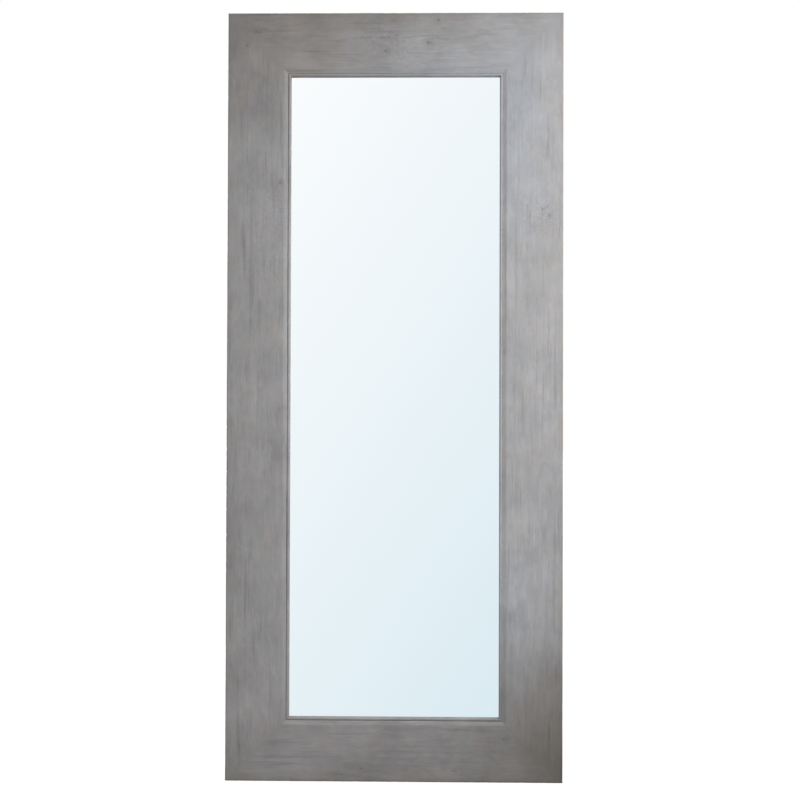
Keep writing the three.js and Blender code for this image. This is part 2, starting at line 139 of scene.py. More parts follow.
class Nodes:
    """Adds nodes to one tree. An input may be a plain value or another node's output."""

    def __init__(self, tree):
        self.tree = tree

    def add(self, kind, inputs=None, **settings):
        node = self.tree.nodes.new(kind)
        for name, value in settings.items():
            setattr(node, name, value)
        for key, value in (inputs or {}).items():
            self.feed(node.inputs[key], value)
        return node

    def feed(self, socket, value):
        if isinstance(value, bpy.types.NodeSocket):
            self.tree.links.new(value, socket)
        else:
            socket.default_value = value

    def math(self, operation, *values):
        return self.add("ShaderNodeMath", dict(enumerate(values)), operation=operation).outputs[0]

    def vector(self, operation, *values):
        node = self.add("ShaderNodeVectorMath", dict(enumerate(values)), operation=operation)
        return node.outputs["Value" if operation in ("LENGTH", "DOT_PRODUCT") else "Vector"]

    def scale(self, vector, factor):
        node = self.add("ShaderNodeVectorMath", {0: vector, "Scale": factor}, operation="SCALE")
        return node.outputs[0]

    def own_place(self):
        return self.add("ShaderNodeTexCoord").outputs["Object"]

    def noise(self, vector, detail=2.0, roughness=0.5, distortion=0.0, output=0):
        """Fractal noise from 0 to 1 with cells of size 1 (output 1 gives three of them)."""
        inputs = {
            "Vector": vector,
            "Scale": 1.0,
            "Detail": detail,
            "Roughness": roughness,
            "Distortion": distortion,
        }
        return self.add("ShaderNodeTexNoise", inputs).outputs[output]

    def remap(self, value, low, high, to_low=0.0, to_high=1.0):
        inputs = {0: value, 1: low, 2: high, 3: to_low, 4: to_high}
        return self.add("ShaderNodeMapRange", inputs, interpolation_type="SMOOTHSTEP").outputs[0]

    def around(self, noise, amount, middle=1.0):
        """middle, varied by a noise that swings round one half."""
        return self.math("MULTIPLY_ADD", self.math("SUBTRACT", noise, 0.5), amount, middle)

    def blend(self, share, a, b):
        """Colour a turning into colour b by share."""
        return self.add("ShaderNodeMix", {0: share, 6: a, 7: b}, data_type="RGBA").outputs[2]


def new_material(name, **shader_values):
    """A material with one Principled shader, whose plain values are set on its own sockets."""
    material = bpy.data.materials.new(name)
    material.use_nodes = True
    shader = material.node_tree.nodes["Principled BSDF"]
    for socket, value in shader_values.items():
        shader.inputs[socket.replace("_", " ")].default_value = value
    return material, shader, Nodes(material.node_tree)


def srgb(red, green, blue):
    """A colour given in the 0 to 255 steps of a paint chart, as linear light."""

    def linear(step):
        share = step / 255
        return share / 12.92 if share <= 0.04045 else ((share + 0.055) / 1.055) ** 2.4

    return (linear(red), linear(green), linear(blue), 1.0)


def bump(nodes, shader, height, distance):
    node = nodes.add("ShaderNodeBump", {"Height": height, "Distance": distance, "Strength": 1.0})
    nodes.feed(shader.inputs["Normal"], node.outputs[0])


# ---- timber

COOL_WASH = srgb(143, 144, 148)
WARM_WASH = srgb(149, 144, 140)
# The brown of rubbed-off wash, and also the colour that the painted shade turns the wash towards
WORN_AND_SHADED_WASH = srgb(126, 116, 105)
LATE_WOOD = srgb(112, 109, 108)
CRACK = srgb(84, 80, 78)
PALE_SCUFF = srgb(178, 178, 180)
KNOT_HEART = srgb(88, 84, 82)
BARE_PINE = srgb(190, 166, 134)
PINE_LATE_WOOD = srgb(170, 139, 104)

PITH_BEHIND = 0.075  # how far behind the face the boards' pith lies
PITH_ACROSS = 0.095  # and how far in from the outer edge
PITH_SWAY = 0.11
PITH_TURNS = (2.5, 2.5, 1.3)  # how many times a metre it sways


def grain_by(nodes, grain, across, along, detail=3.0, roughness=0.55, distortion=0.0):
    """Noise drawn out along the fibres, with cells of the given size in metres."""
    drawn = nodes.vector("MULTIPLY", grain, (1 / across, 1 / across, 1 / along))
    return nodes.noise(drawn, detail, roughness, distortion)


def yearly_rings(nodes, grain, width, length):
    """Noise that follows the yearly rings. The pith runs behind the face and wanders, so the
    rings leave the face as straight lines at its sides and as long arches near its middle."""
    slow = nodes.vector("MULTIPLY", grain, PITH_TURNS)
    sway = nodes.vector("SUBTRACT", nodes.noise(slow, 1.0, output=1), (0.5, 0.5, 0.5))
    pith = nodes.vector("MULTIPLY_ADD", sway, (PITH_SWAY, PITH_SWAY, 0), (PITH_ACROSS, PITH_BEHIND, 0))
    spot = nodes.vector("MULTIPLY", nodes.vector("SUBTRACT", grain, pith), (1, 1, 0))
    away = nodes.vector("LENGTH", spot)
    along = nodes.add("ShaderNodeSeparateXYZ", {0: grain}).outputs[2]
    flat = nodes.add("ShaderNodeCombineXYZ", {0: away, 2: along}).outputs[0]
    return grain_by(nodes, flat, width, length, 3.0, 0.6)


def washed_timber(name):
    """Brushed timber under a thin grey wash, bare on the faces that the wash doesn't reach.
    The piece's attributes: grain is the place in the board's solid timber with the fibres along Z, tone
    the board's lightness, partly its own and partly painted light and shade, cool how blue its wash is,
    partly a painted sheen of cool light, washed where the wash went, worn how far it is rubbed off,
    shade how much darker it is painted, as painted shade, or paler below 0, as painted light, knot the
    distance from the nearest knot in knot radii, curl where the figure is curly, quirk how near the
    quirk between lip and bead, which is painted lighter there against its shade, and mitre how near the
    mitre."""
    material, shader, nodes = new_material(name, Specular_IOR_Level=0.35)

    def attribute(label, output="Fac"):
        return nodes.add("ShaderNodeAttribute", attribute_name=label).outputs[output]

    grain = attribute("grain", "Vector")
    rings = yearly_rings(nodes, grain, 2.6 * MM, 0.8)
    broad = yearly_rings(nodes, grain, 9 * MM, 0.5)
    fine = grain_by(nodes, grain, 0.9 * MM, 70 * MM, 4.0, 0.65)
    streak = grain_by(nodes, grain, 8 * MM, 190 * MM, 2.0, 0.5, 0.3)
    blotch = grain_by(nodes, grain, 16 * MM, 34 * MM, 3.0, 0.6, 0.8)
    dark_dash = grain_by(nodes, grain, 8 * MM, 120 * MM, 1.5, 0.45, 0.2)
    long_dash = grain_by(nodes, grain, 14 * MM, 300 * MM, 1.5, 0.45, 0.3)
    pale_dash = grain_by(nodes, grain, 7 * MM, 80 * MM, 1.5, 0.45, 0.4)
    island = grain_by(nodes, grain, 26 * MM, 65 * MM, 3.0, 0.55, 1.2)
    pore = grain_by(nodes, grain, 0.45 * MM, 7 * MM, 2.0, 0.5)
    crack = grain_by(nodes, grain, 1.6 * MM, 38 * MM, 1.0, 0.5, 0.2)
    scuff = grain_by(nodes, grain, 4 * MM, 8 * MM, 3.0, 0.6, 1.0)
    curly = grain_by(nodes, grain, 9 * MM, 7 * MM, 3.0, 0.6, 1.2)

    # The wash was wiped on after the joints were made, so its clouds run across them.
    place = nodes.own_place()
    patch = nodes.noise(nodes.scale(place, 1 / (95 * MM)), 2.0)
    hue = nodes.noise(nodes.scale(place, 1 / (38 * MM)), 3.0, 0.5, 0.3)

    warm = nodes.around(hue, 1.3, nodes.math("SUBTRACT", 1.0, attribute("cool")))
    colour = nodes.blend(warm, COOL_WASH, WARM_WASH)
    worn = nodes.math("MULTIPLY", attribute("worn"), nodes.remap(streak, 0.3, 0.6, 0.35, 1.0))
    colour = nodes.blend(worn, colour, WORN_AND_SHADED_WASH)

    swings = (
        (rings, 0.05),
        (broad, 0.16),
        (streak, 0.20),
        (fine, 0.12),
        (blotch, 0.20),
        (nodes.remap(dark_dash, 0.72, 0.60), 0.12),
        (nodes.remap(long_dash, 0.70, 0.60), 0.12),
        (nodes.remap(pale_dash, 0.60, 0.72), 0.09),
        (nodes.remap(island, 0.48, 0.54), 0.05),
        (nodes.remap(curly, 0.48, 0.62), nodes.math("MULTIPLY", attribute("curl"), 0.17)),
    )
    light = 0.0
    for noise, amount in swings:
        light = nodes.around(noise, amount, light)
    calm = nodes.math("MULTIPLY_ADD", attribute("mitre"), -0.75, 1.0)
    light = nodes.math("MULTIPLY_ADD", light, calm, attribute("tone"))
    light = nodes.around(patch, 0.45, light)
    # Painted light: the quirk is set lighter against the shade that falls in it
    light = nodes.math("MULTIPLY_ADD", attribute("quirk"), 0.32, light)
    # Painted shade: the wash is darker and browner where shade falls, and paler, as painted light, where
    # shade is below 0
    shade = attribute("shade")
    colour = nodes.blend(nodes.math("MAXIMUM", shade, 0.0), colour, WORN_AND_SHADED_WASH)
    light = nodes.math("MULTIPLY", light, nodes.math("SUBTRACT", 1.0, shade))
    colour = nodes.scale(colour, light)

    colour = nodes.blend(nodes.remap(pore, 0.60, 0.80, 0.0, 0.45), colour, LATE_WOOD)
    colour = nodes.blend(nodes.remap(crack, 0.74, 0.80, 0.0, 0.45), colour, CRACK)
    scuffed = nodes.math("MULTIPLY_ADD", attribute("curl"), 0.06, scuff)
    colour = nodes.blend(nodes.remap(scuffed, 0.70, 0.78, 0.0, 0.3), colour, PALE_SCUFF)
    knot = nodes.around(grain_by(nodes, grain, 2.5 * MM, 4 * MM, 3.0, 0.6), 2.6, attribute("knot"))
    colour = nodes.blend(nodes.remap(knot, 3.6, 1.0, 0.0, 0.22), colour, LATE_WOOD)
    colour = nodes.blend(nodes.remap(knot, 1.2, 0.3, 0.0, 0.45), colour, KNOT_HEART)

    pine = nodes.blend(nodes.remap(rings, 0.40, 0.70), BARE_PINE, PINE_LATE_WOOD)
    pine = nodes.scale(pine, nodes.around(fine, 0.4))
    colour = nodes.blend(attribute("washed"), pine, colour)
    nodes.feed(shader.inputs["Base Color"], colour)
    nodes.feed(shader.inputs["Roughness"], nodes.remap(streak, 0.25, 0.75, 0.52, 0.68))
    height = nodes.math("MULTIPLY_ADD", rings, 0.8, nodes.math("MULTIPLY", fine, 0.5))
    height = nodes.math("MULTIPLY_ADD", pore, -0.3, height)
    bump(nodes, shader, height, 0.22 * MM)
    return material


def plain_timber(name, along, early=BARE_PINE, late=PINE_LATE_WOOD):
    """Planed softwood or beech with its fibres along X or Z, read from object coordinates."""
    material, shader, nodes = new_material(name, Specular_IOR_Level=0.3)
    place = nodes.own_place()

    def drawn(across, length):
        sizes = (length, across, across) if along == "X" else (across, across, length)
        return nodes.noise(nodes.vector("MULTIPLY", place, tuple(1 / s for s in sizes)), 3.0, 0.55, 0.4)

    rings = drawn(2.4 * MM, 0.3)
    hair = drawn(0.7 * MM, 0.05)
    colour = nodes.blend(nodes.remap(rings, 0.4, 0.65), early, late)
    colour = nodes.scale(colour, nodes.around(hair, 0.45))
    nodes.feed(shader.inputs["Base Color"], colour)
    nodes.feed(shader.inputs["Roughness"], nodes.remap(hair, 0.2, 0.8, 0.62, 0.8))
    bump(nodes, shader, hair, 0.15 * MM)
    return material


# ---- other finishes


def silvered_glass():
    """Silvered float glass: a perfectly sharp reflection with the glass's faint cool tint."""
    material, shader, nodes = new_material("silvered_glass", Metallic=1.0, Roughness=0.0)
    place = nodes.own_place()
    tint = nodes.blend(
        nodes.noise(nodes.scale(place, 3.0)), (0.955, 0.972, 0.982, 1), (0.965, 0.978, 0.985, 1)
    )
    nodes.feed(shader.inputs["Base Color"], tint)
    return material


def pressed_hardboard():
    """Brown fibre board with the mark of the press's wire mesh on its rough face."""
    material, shader, nodes = new_material("pressed_hardboard", Specular_IOR_Level=0.25)
    place = nodes.own_place()
    fibre = nodes.noise(nodes.scale(place, 700), 4.0, 0.7)
    cloud = nodes.noise(nodes.scale(place, 11), 3.0, 0.6)
    colour = nodes.blend(nodes.remap(fibre, 0.3, 0.7), srgb(118, 86, 60), srgb(80, 55, 38))
    colour = nodes.scale(colour, nodes.around(cloud, 0.5))
    nodes.feed(shader.inputs["Base Color"], colour)
    nodes.feed(shader.inputs["Roughness"], nodes.remap(fibre, 0.2, 0.8, 0.74, 0.92))
    spacing = {"Vector": place, "Scale": 130.0}
    wires = [
        nodes.add("ShaderNodeTexWave", spacing, bands_direction=way).outputs[1] for way in ("X", "Z")
    ]
    mark = nodes.math("MULTIPLY", *wires)
    bump(nodes, shader, nodes.math("MULTIPLY_ADD", fibre, 0.5, mark), 0.4 * MM)
    return material


def plated_steel(name, bright, dull, roughness):
    """Plated steel with cloudy passivation and fine drawing scratches."""
    material, shader, nodes = new_material(name, Metallic=1.0)
    place = nodes.own_place()
    cloud = nodes.noise(nodes.scale(place, 190), 3.0, 0.6)
    scratch = nodes.noise(nodes.vector("MULTIPLY", place, (2600, 2200, 260)), 3.0, 0.7)
    nodes.feed(shader.inputs["Base Color"], nodes.blend(nodes.remap(cloud, 0.35, 0.7), bright, dull))
    gloss = nodes.remap(scratch, 0.2, 0.8, roughness - 0.08, roughness + 0.1)
    nodes.feed(shader.inputs["Roughness"], gloss)
    bump(nodes, shader, scratch, 0.03 * MM)
    return material


def black_rubber():
    material, shader, nodes = new_material("black_rubber", Specular_IOR_Level=0.35)
    place = nodes.own_place()
    speck = nodes.noise(nodes.scale(place, 1500), 3.0, 0.6)
    bloom = nodes.noise(nodes.scale(place, 90), 2.0)
    colour = nodes.blend(nodes.remap(bloom, 0.4, 0.75), srgb(34, 34, 35), srgb(54, 54, 55))
    nodes.feed(shader.inputs["Base Color"], colour)
    nodes.feed(shader.inputs["Roughness"], nodes.remap(speck, 0.2, 0.8, 0.66, 0.85))
    bump(nodes, shader, speck, 0.08 * MM)
    return material


# ---- the four sides

# Both are placed on the frame's face: x from its middle, z from the floor.
Knot = namedtuple("Knot", "x z radius")
Spot = namedtuple("Spot", "x z wide high amount")


class Side:
    """One side of the frame. turns is how many quarter turns clockwise, seen from the front,
    take the left side to it."""

    def __init__(self, name, board, turns, **finish):
        self.name = name
        self.board = board
        self.turns = turns
        self.length = 2 * HALF_WIDTH if turns % 2 else HEIGHT
        self.finish = finish
        middle = [(-HALF_WIDTH, HEIGHT / 2), (0, HEIGHT), (HALF_WIDTH, HEIGHT / 2), (0, 0)][turns]
        turn = Matrix.Rotation(turns * math.pi / 2, 4, "Y")
        self.to_frame = Matrix.Translation((middle[0], FRONT, middle[1])) @ turn

    def local(self, x, z):
        """(u, v) of a place on the frame's face."""
        place = self.to_frame.inverted() @ Vector((x, FRONT, z))
        return place.x, place.z

    def on_frame(self, u, v):
        """x and z, in the frame, of places on this side."""
        turn = self.to_frame
        x = turn[0][0] * u + turn[0][2] * v + turn[0][3]
        z = turn[2][0] * u + turn[2][2] * v + turn[2][3]
        return x, z

    def from_mitre(self, u, v):
        return self.length / 2 - u - abs(v)

    def holds(self, u, v):
        return 0 < u < LIP_EDGE and self.from_mitre(u, v) > 0


# Tone and cool are partly each board's own and partly painted light: the bottom rail is set darker and
# warmer and the right stile paler and bluer, as the light falls on them
SIDES = [
    Side("left", "left_stile", 0, tone=0.91, cool=0.52, worn=0.35),
    Side("top", "top_rail", 1, tone=0.885, cool=0.5, worn=0.9),
    Side("right", "right_stile", 2, tone=0.93, cool=0.56, worn=0.5),
    Side("bottom", "bottom_rail", 3, tone=0.86, cool=0.46, worn=0.75),
]

KNOTS = [
    Knot(x=-0.299, z=1.557, radius=3.5 * MM),
    Knot(x=-0.362, z=1.952, radius=4.0 * MM),
    Knot(x=-0.388, z=1.916, radius=3.0 * MM),
    Knot(x=-0.380, z=1.926, radius=2.0 * MM),
    Knot(x=-0.026, z=1.900, radius=4.5 * MM),
    Knot(x=-0.002, z=1.980, radius=4.0 * MM),
    Knot(x=-0.032, z=1.935, radius=2.5 * MM),
    Knot(x=0.001, z=1.941, radius=2.0 * MM),
    Knot(x=0.088, z=1.922, radius=6.5 * MM),
    Knot(x=0.112, z=1.981, radius=3.5 * MM),
    Knot(x=0.125, z=1.958, radius=2.0 * MM),
    Knot(x=0.384, z=1.486, radius=3.5 * MM),
    Knot(x=0.402, z=1.470, radius=3.0 * MM),
    Knot(x=0.396, z=1.492, radius=2.0 * MM),
    Knot(x=0.282, z=1.115, radius=2.5 * MM),
    Knot(x=0.286, z=0.112, radius=5.0 * MM),
    Knot(x=0.156, z=0.030, radius=3.0 * MM),
    Knot(x=-0.085, z=0.034, radius=3.0 * MM),
]

CURLY_SPOTS = [
    Spot(x=-0.31, z=1.52, wide=0.07, high=0.07, amount=0.7),
    Spot(x=-0.30, z=1.38, wide=0.09, high=0.09, amount=0.5),
    Spot(x=-0.37, z=1.94, wide=0.04, high=0.04, amount=0.9),
    Spot(x=-0.02, z=1.92, wide=0.06, high=0.06, amount=1.0),
    Spot(x=0.11, z=1.92, wide=0.04, high=0.04, amount=0.6),
    Spot(x=0.38, z=1.48, wide=0.07, high=0.07, amount=0.9),
    Spot(x=0.29, z=0.11, wide=0.05, high=0.05, amount=0.8),
]

# Painted shade, and painted light where the amount is below 0: the wash is set darker and browner where
# shade falls, most round the lower right corner, and paler where more light falls
PAINTED_LIGHT_AND_SHADE_SPOTS = [
    Spot(x=-0.38, z=1.96, wide=0.20, high=0.20, amount=0.14),
    Spot(x=-0.10, z=1.99, wide=0.20, high=0.04, amount=0.13),
    Spot(x=-0.12, z=1.91, wide=0.14, high=0.07, amount=0.07),
    Spot(x=-0.43, z=1.79, wide=0.05, high=0.12, amount=0.08),
    Spot(x=-0.34, z=1.72, wide=0.08, high=0.08, amount=0.05),
    Spot(x=-0.43, z=0.72, wide=0.04, high=0.12, amount=0.05),
    Spot(x=-0.31, z=0.38, wide=0.04, high=0.16, amount=-0.07),
    Spot(x=-0.38, z=0.14, wide=0.08, high=0.08, amount=-0.08),
    Spot(x=-0.42, z=0.02, wide=0.10, high=0.06, amount=0.10),
    Spot(x=-0.04, z=0.03, wide=0.14, high=0.04, amount=0.09),
    Spot(x=0.17, z=0.14, wide=0.12, high=0.05, amount=-0.08),
    Spot(x=0.40, z=1.30, wide=0.10, high=0.30, amount=0.11),
    Spot(x=0.31, z=0.50, wide=0.11, high=0.18, amount=-0.22),
    Spot(x=0.36, z=0.46, wide=0.12, high=0.07, amount=-0.07),
    Spot(x=0.40, z=0.06, wide=0.28, high=0.28, amount=0.25),
    Spot(x=0.45, z=0.05, wide=0.10, high=0.26, amount=0.18),
]

# Painted colour of the light: the wash is set browner where painted shade lies, and bluer where the
# amount is below 0, a painted sheen of the cool light where it falls brightest
PAINTED_LIGHT_HUE_SPOTS = [
    Spot(x=-0.26, z=1.91, wide=0.14, high=0.09, amount=0.45),
    Spot(x=0.31, z=1.70, wide=0.07, high=0.26, amount=-0.50),
    Spot(x=0.12, z=1.85, wide=0.16, high=0.05, amount=-0.30),
    Spot(x=0.31, z=0.42, wide=0.07, high=0.20, amount=-0.35),
    Spot(x=0.40, z=0.10, wide=0.08, high=0.12, amount=0.40),
]

KNOT_PUSH = 1.6  # knot radii by which the fibres part
KNOT_EDDY = 3.2  # how much longer than wide the parting is
KNOT_OVAL = 1.3  # how much longer than wide the knot is
FAR_FROM_KNOTS = 4.0  # knot radii

CHIPPED_FROM, CHIPPED_TO = 0.5, 1.0  # heights between which the left outer edge is knobbly
CHIPPED_FADE = 80 * MM
CHIPPED_REACH = 4 * MM
CHIPPED_ANYWHERE = 0.35  # share of the chips that every outer edge has

BARE_EDGE = 1 * MM  # how far from the back the wash ends
WASH_FADE = 5 * MM
WORN_REACH = 9 * MM  # how far in from the outer edge the wash is rubbed
QUIRK_REACH = 1.3 * MM  # how far from the lip's nose the quirk is painted lighter, a painted light against its shade
MITRE_REACH = 70 * MM  # how far from a mitre the next board's tone begins to show
MITRE_CALM = 22 * MM  # how far from a mitre the grain is quieter
MITRE_FREE = 6 * MM  # how far from a mitre the relief has its full height
BOARDS_APART = 7.3  # between one board's place in the log and the next one's


def line(start, end, step):
    """Points from start towards end, without end."""
    start, end = np.array(start, float), np.array(end, float)
    count = max(1, round(float(np.linalg.norm(end - start)) / step))
    return [tuple(start + (end - start) * i / count) for i in range(count)]


def arc(centre, radius, begin, finish, steps):
    """Points of an arc between two angles in degrees, without the last."""
    turned = [math.radians(begin + (finish - begin) * i / steps) for i in range(steps)]
    return [(centre[0] + radius * math.cos(a), centre[1] + radius * math.sin(a)) for a in turned]


def board_outline():
    flat_end = LIP_EDGE - SPLAY_WIDTH
    eased = (flat_end + EASED_WIDTH, EASED_DROP)
    return (
        line((0, DEPTH - BACK_ARRIS), (0, OUTER_ARRIS), EDGE_STEP)
        + arc((OUTER_ARRIS, OUTER_ARRIS), OUTER_ARRIS, 180, 270, 6)
        + line((OUTER_ARRIS, 0), (flat_end, 0), ACROSS_STEP)
        + arc((flat_end, SPLAY_EASE), SPLAY_EASE, -90, SPLAY_ANGLE - 90, 6)
        + line(eased, (LIP_EDGE, SPLAY_DROP), ACROSS_STEP)
        + line((LIP_EDGE, SPLAY_DROP), (LIP_EDGE, LIP_BACK), EDGE_STEP)
        + line((LIP_EDGE, LIP_BACK), (RABBET_WALL, LIP_BACK), HIDDEN_STEP)
        + line((RABBET_WALL, LIP_BACK), (RABBET_WALL, DEPTH - BACK_ARRIS), HIDDEN_STEP)
        + line((RABBET_WALL, DEPTH - BACK_ARRIS), (RABBET_WALL - BACK_ARRIS, DEPTH), EDGE_STEP)
        + line((RABBET_WALL - BACK_ARRIS, DEPTH), (BACK_ARRIS, DEPTH), HIDDEN_STEP)
        + line((BACK_ARRIS, DEPTH), (0, DEPTH - BACK_ARRIS), EDGE_STEP)
    )


def slip_outline():
    """The slip's bead meets the lip without a gap, as the wash has filled the quirk."""
    outer = RABBET_WALL + SEAT_GAP
    radius = (SIGHT_EDGE - LIP_EDGE) / 2
    middle = BEAD_SETBACK + radius
    flange = LIP_BACK + SEAT_GAP
    return (
        line((outer, flange), (LIP_EDGE, flange), HIDDEN_STEP)
        + line((LIP_EDGE, flange), (LIP_EDGE, QUIRK_FILL), EDGE_STEP)
        + arc((LIP_EDGE + radius, middle), radius, 180 + QUIRK_ANGLE, 360, 16)
        + line((SIGHT_EDGE, middle), (SIGHT_EDGE, SLIP_BACK), EDGE_STEP)
        + line((SIGHT_EDGE, SLIP_BACK), (outer, SLIP_BACK), HIDDEN_STEP)
        + line((outer, SLIP_BACK), (outer, flange), HIDDEN_STEP)
    )


def flow_round_knots(side, u, v):
    """The fibres part round each knot: where each point would be without the knots, and its
    distance from the nearest knot in knot radii, up to FAR_FROM_KNOTS."""
    straight, apart = u.copy(), np.full_like(u, FAR_FROM_KNOTS)
    for knot in KNOTS:
        ku, kv = side.local(knot.x, knot.z)
        if side.holds(ku, kv):
            du, dv = u - ku, v - kv
            spread = du**2 + (dv / KNOT_EDDY) ** 2 + knot.radius**2
            straight -= du * (KNOT_PUSH * knot.radius) ** 2 / spread
            apart = np.minimum(apart, np.hypot(du, dv / KNOT_OVAL) / knot.radius)
    return straight, apart


def near_spots(spots, x, z):
    """The spots' amounts, added up, each fading out round its middle."""
    total = np.zeros_like(x)
    for spot in spots:
        across, up = (x - spot.x) / spot.wide, (z - spot.z) / spot.high
        total += spot.amount * np.exp(-(across**2) - up**2)
    return total


def shared_at_mitres(trait, side, u, v):
    """A board's own trait, which meets the next board's halfway at each mitre."""
    own = side.finish[trait]
    next_one, last_one = (SIDES[(side.turns + step) % len(SIDES)].finish[trait] for step in (1, -1))
    other = np.where(v > 0, next_one, last_one)
    return own + (other - own) / 2 * np.exp(-side.from_mitre(u, v) / MITRE_REACH)


def chipped_mask(side, u, t, v):
    """How much the outer arris may be chipped: a little everywhere, more along part of the
    left side."""
    arris = np.exp(-((u**2 + t**2) / CHIPPED_REACH**2))
    if side.name != "left":
        return CHIPPED_ANYWHERE * arris
    height = v + HEIGHT / 2
    above = np.clip((height - CHIPPED_FROM) / CHIPPED_FADE, 0, 1)
    below = np.clip((CHIPPED_TO - height) / CHIPPED_FADE, 0, 1)
    return (CHIPPED_ANYWHERE + (1 - CHIPPED_ANYWHERE) * above * below) * arris


def washed_mask(u, t):
    """1 where the wash was wiped on: the face, the moulding and most of the outer edge."""
    shown = (t < LIP_BACK - 0.1 * MM) | (u < OUTER_ARRIS) | (u > LIP_EDGE)
    return np.where(shown, np.clip((DEPTH - BARE_EDGE - t) / WASH_FADE, 0, 1), 0.0)


def give(mesh, name, values):
    """Stores values on the mesh's points, as numbers or as vectors."""
    vectors = values.ndim == 2
    attribute = mesh.attributes.new(name, "FLOAT_VECTOR" if vectors else "FLOAT", "POINT")
    attribute.data.foreach_set("vector" if vectors else "value", values.astype(np.float32).ravel())


def face_outwards(mesh):
    shell = bmesh.new()
    shell.from_mesh(mesh)
    bmesh.ops.recalc_face_normals(shell, faces=shell.faces)
    shell.to_mesh(mesh)
    shell.free()


def grid_faces(rows, around):
    """Quads between rows + 1 closed rings of points."""
    row, place = np.meshgrid(np.arange(rows), np.arange(around), indexing="ij")
    first = row * around + place
    second = row * around + (place + 1) % around
    return np.stack([first, second, second + around, first + around], -1).reshape(-1, 4).tolist()


def swept_side(side, outline):
    """The outline run along a side and mitred at both ends, with the timber's attributes."""
    ring = np.array(outline)
    around = len(ring)
    rows = round(side.length / ALONG_STEP)
    u = np.tile(ring[:, 0], rows + 1)
    t = np.tile(ring[:, 1], rows + 1)
    v = np.outer(np.linspace(-1, 1, rows + 1), side.length / 2 - ring[:, 0]).ravel()
    mesh = bpy.data.meshes.new(side.board)
    caps = [list(range(around)), [rows * around + i for i in reversed(range(around))]]
    mesh.from_pydata(np.stack([u, t, v], -1).tolist(), [], grid_faces(rows, around) + caps)

    straight, apart = flow_round_knots(side, u, v)
    on_face = t < SPLAY_DROP
    from_mitre = side.from_mitre(u, v)
    give(mesh, "grain", np.stack([straight, t, v + BOARDS_APART * (side.turns + 1)], -1))
    give(mesh, "washed", washed_mask(u, t))
    give(mesh, "knot", np.where(on_face, apart, FAR_FROM_KNOTS))
    x, z = side.on_frame(u, v)
    give(mesh, "curl", near_spots(CURLY_SPOTS, x, z) * on_face)
    # painted shade and painted light: darker or paler wash where the light falls less or more
    give(mesh, "shade", near_spots(PAINTED_LIGHT_AND_SHADE_SPOTS, x, z))
    # board tone, partly painted light and shade
    give(mesh, "tone", shared_at_mitres("tone", side, u, v))
    # cool, less the painted colour of the light: browner in painted shade, bluer in a painted sheen
    give(mesh, "cool", shared_at_mitres("cool", side, u, v) - near_spots(PAINTED_LIGHT_HUE_SPOTS, x, z))
    give(mesh, "worn", shared_at_mitres("worn", side, u, v) * np.exp(-u / WORN_REACH))
    # where the quirk is painted lighter, a painted light against its shade
    give(mesh, "quirk", np.exp(-(((u - LIP_EDGE) / QUIRK_REACH) ** 2)))
    give(mesh, "chipped", chipped_mask(side, u, t, v))
    give(mesh, "mitre", np.exp(-from_mitre / MITRE_CALM))
    give(mesh, "free", np.clip(from_mitre / MITRE_FREE, 0, 1))
    mesh.transform(side.to_frame)
    face_outwards(mesh)
    return mesh


# ---- geometry nodes


class ShapeTree:
    """A tree of geometry nodes with named inputs, ending in Realize Instances and Set Material."""

    def __init__(self, name, **inputs):
        self.tree = bpy.data.node_groups.new(name, "GeometryNodeTree")
        self.keys = {}
        self.tree.interface.new_socket("Geometry", in_out="INPUT", socket_type="NodeSocketGeometry")
        self.tree.interface.new_socket("Geometry", in_out="OUTPUT", socket_type="NodeSocketGeometry")
        for label, kind in {**inputs, "Finish": "Material"}.items():
            socket = self.tree.interface.new_socket(
                label.replace("_", " "), in_out="INPUT", socket_type=f"NodeSocket{kind}"
            )
            self.keys[label] = socket.identifier
        self.nodes = Nodes(self.tree)
        self.given = self.nodes.add("NodeGroupInput").outputs

    def end(self, geometry):
        real = self.nodes.add("GeometryNodeRealizeInstances", {0: geometry}).outputs[0]
        painted = {"Geometry": real, "Material": self.given["Finish"]}
        done = self.nodes.add("GeometryNodeSetMaterial", painted)
        self.nodes.add("NodeGroupOutput", {0: done.outputs[0]})
        return self

    def apply(self, piece, **values):
        """Runs the tree on the piece and keeps the result as the piece's plain mesh."""
        modifier = piece.modifiers.new(self.tree.name, "NODES")
        modifier.node_group = self.tree
        for label, value in values.items():
            modifier[self.keys[label]] = value
        keep_result(piece)


def keep_result(piece):
    """Makes what the piece's modifiers give its own plain mesh, and takes them off."""
    graph = bpy.context.evaluated_depsgraph_get()
    made = piece.evaluated_get(graph)
    mesh = bpy.data.meshes.new_from_object(made, preserve_all_data_layers=True, depsgraph=graph)
    piece.modifiers.clear()
    piece.data = mesh
    mesh.name = piece.name


